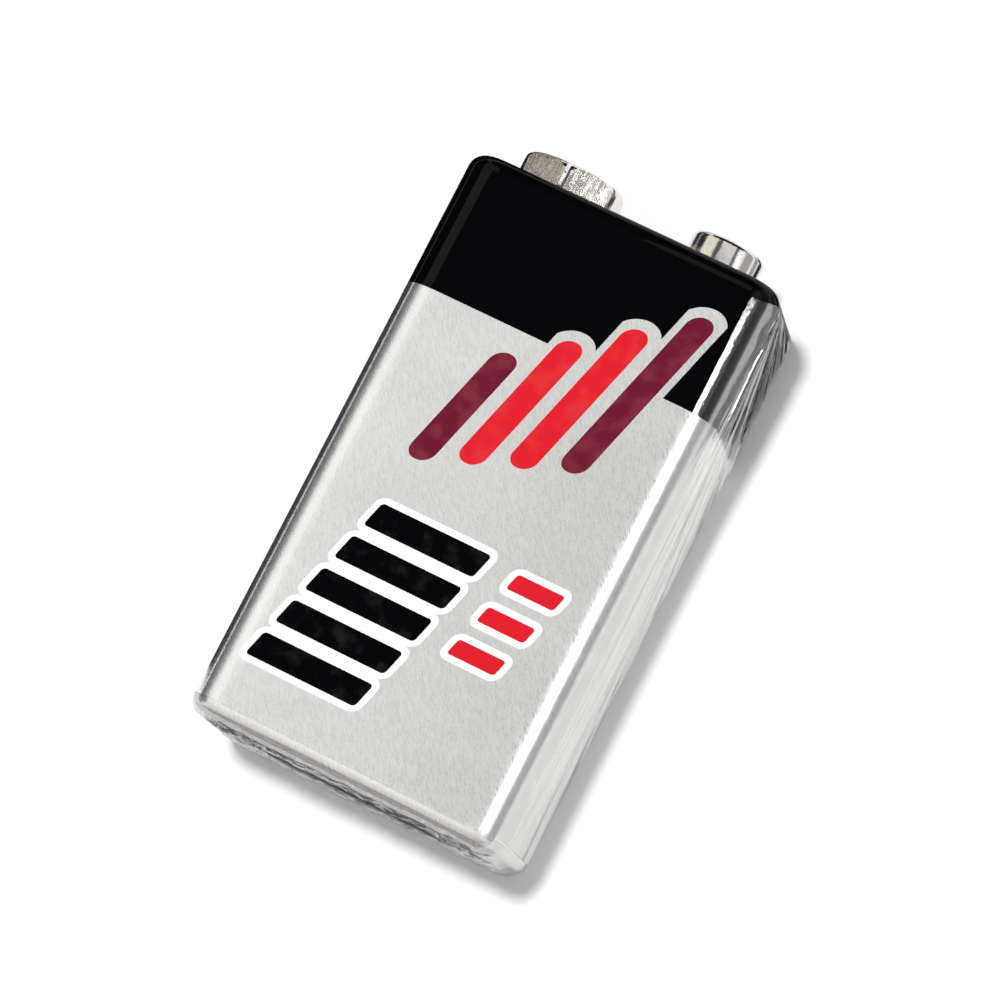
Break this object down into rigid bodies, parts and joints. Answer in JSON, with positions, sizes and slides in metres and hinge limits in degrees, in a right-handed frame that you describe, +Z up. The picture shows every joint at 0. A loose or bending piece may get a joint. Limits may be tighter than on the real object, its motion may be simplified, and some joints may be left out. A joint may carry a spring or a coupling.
{
  "type": "nine volt battery",
  "caption": "Rectangular snap-terminal battery: rolled steel jacket under a printed label, crown and stud terminals on a board, sealed cylindrical cells in series inside.",
  "frame": {"origin": "on the surface the battery lies on, under the middle of its whole length and width", "axes": "+Z up out of the front face, +Y along the length towards the terminals, +X to the right seen from above with the terminals away from the viewer, on the side of the stud"},
  "size_m": [0.0254, 0.0483, 0.0168],
  "materials": {
    "label_film": "brushed silver film with a gloss black band at the terminal end",
    "jacket_steel": "bright tinplate",
    "board_plastic": "moulded, fine matte",
    "snap_nickel": "bright nickel plate",
    "rivet_nickel": "dull nickel plate",
    "strip_nickel": "rolled strip with weld marks",
    "card_board": "plain insulating card",
    "base_plastic": "moulded, fine matte",
    "can_steel": "drawn steel can",
    "sleeve_film": "thin insulating film"
  },
  "bodies": {
    "root": {"label_sleeve": "label_film", "steel_jacket": "jacket_steel", "terminal_board": "board_plastic", "negative_snap": "snap_nickel", "positive_snap": "snap_nickel", "negative_rivet": "rivet_nickel", "positive_rivet": "rivet_nickel", "negative_lead": "strip_nickel", "positive_lead": "strip_nickel", "top_card": "card_board", "base_plate": "base_plastic", "cell_1": "can_steel", "cell_2": "can_steel", "cell_3": "can_steel", "cell_4": "can_steel", "cell_5": "can_steel", "cell_6": "can_steel", "cell_sleeve_1": "sleeve_film", "cell_sleeve_2": "sleeve_film", "cell_sleeve_3": "sleeve_film", "cell_sleeve_4": "sleeve_film", "cell_sleeve_5": "sleeve_film", "cell_sleeve_6": "sleeve_film", "top_strap_1": "strip_nickel", "top_strap_2": "strip_nickel", "base_strap_1": "strip_nickel", "base_strap_2": "strip_nickel", "base_strap_3": "strip_nickel"}
  },
  "joints": []
}
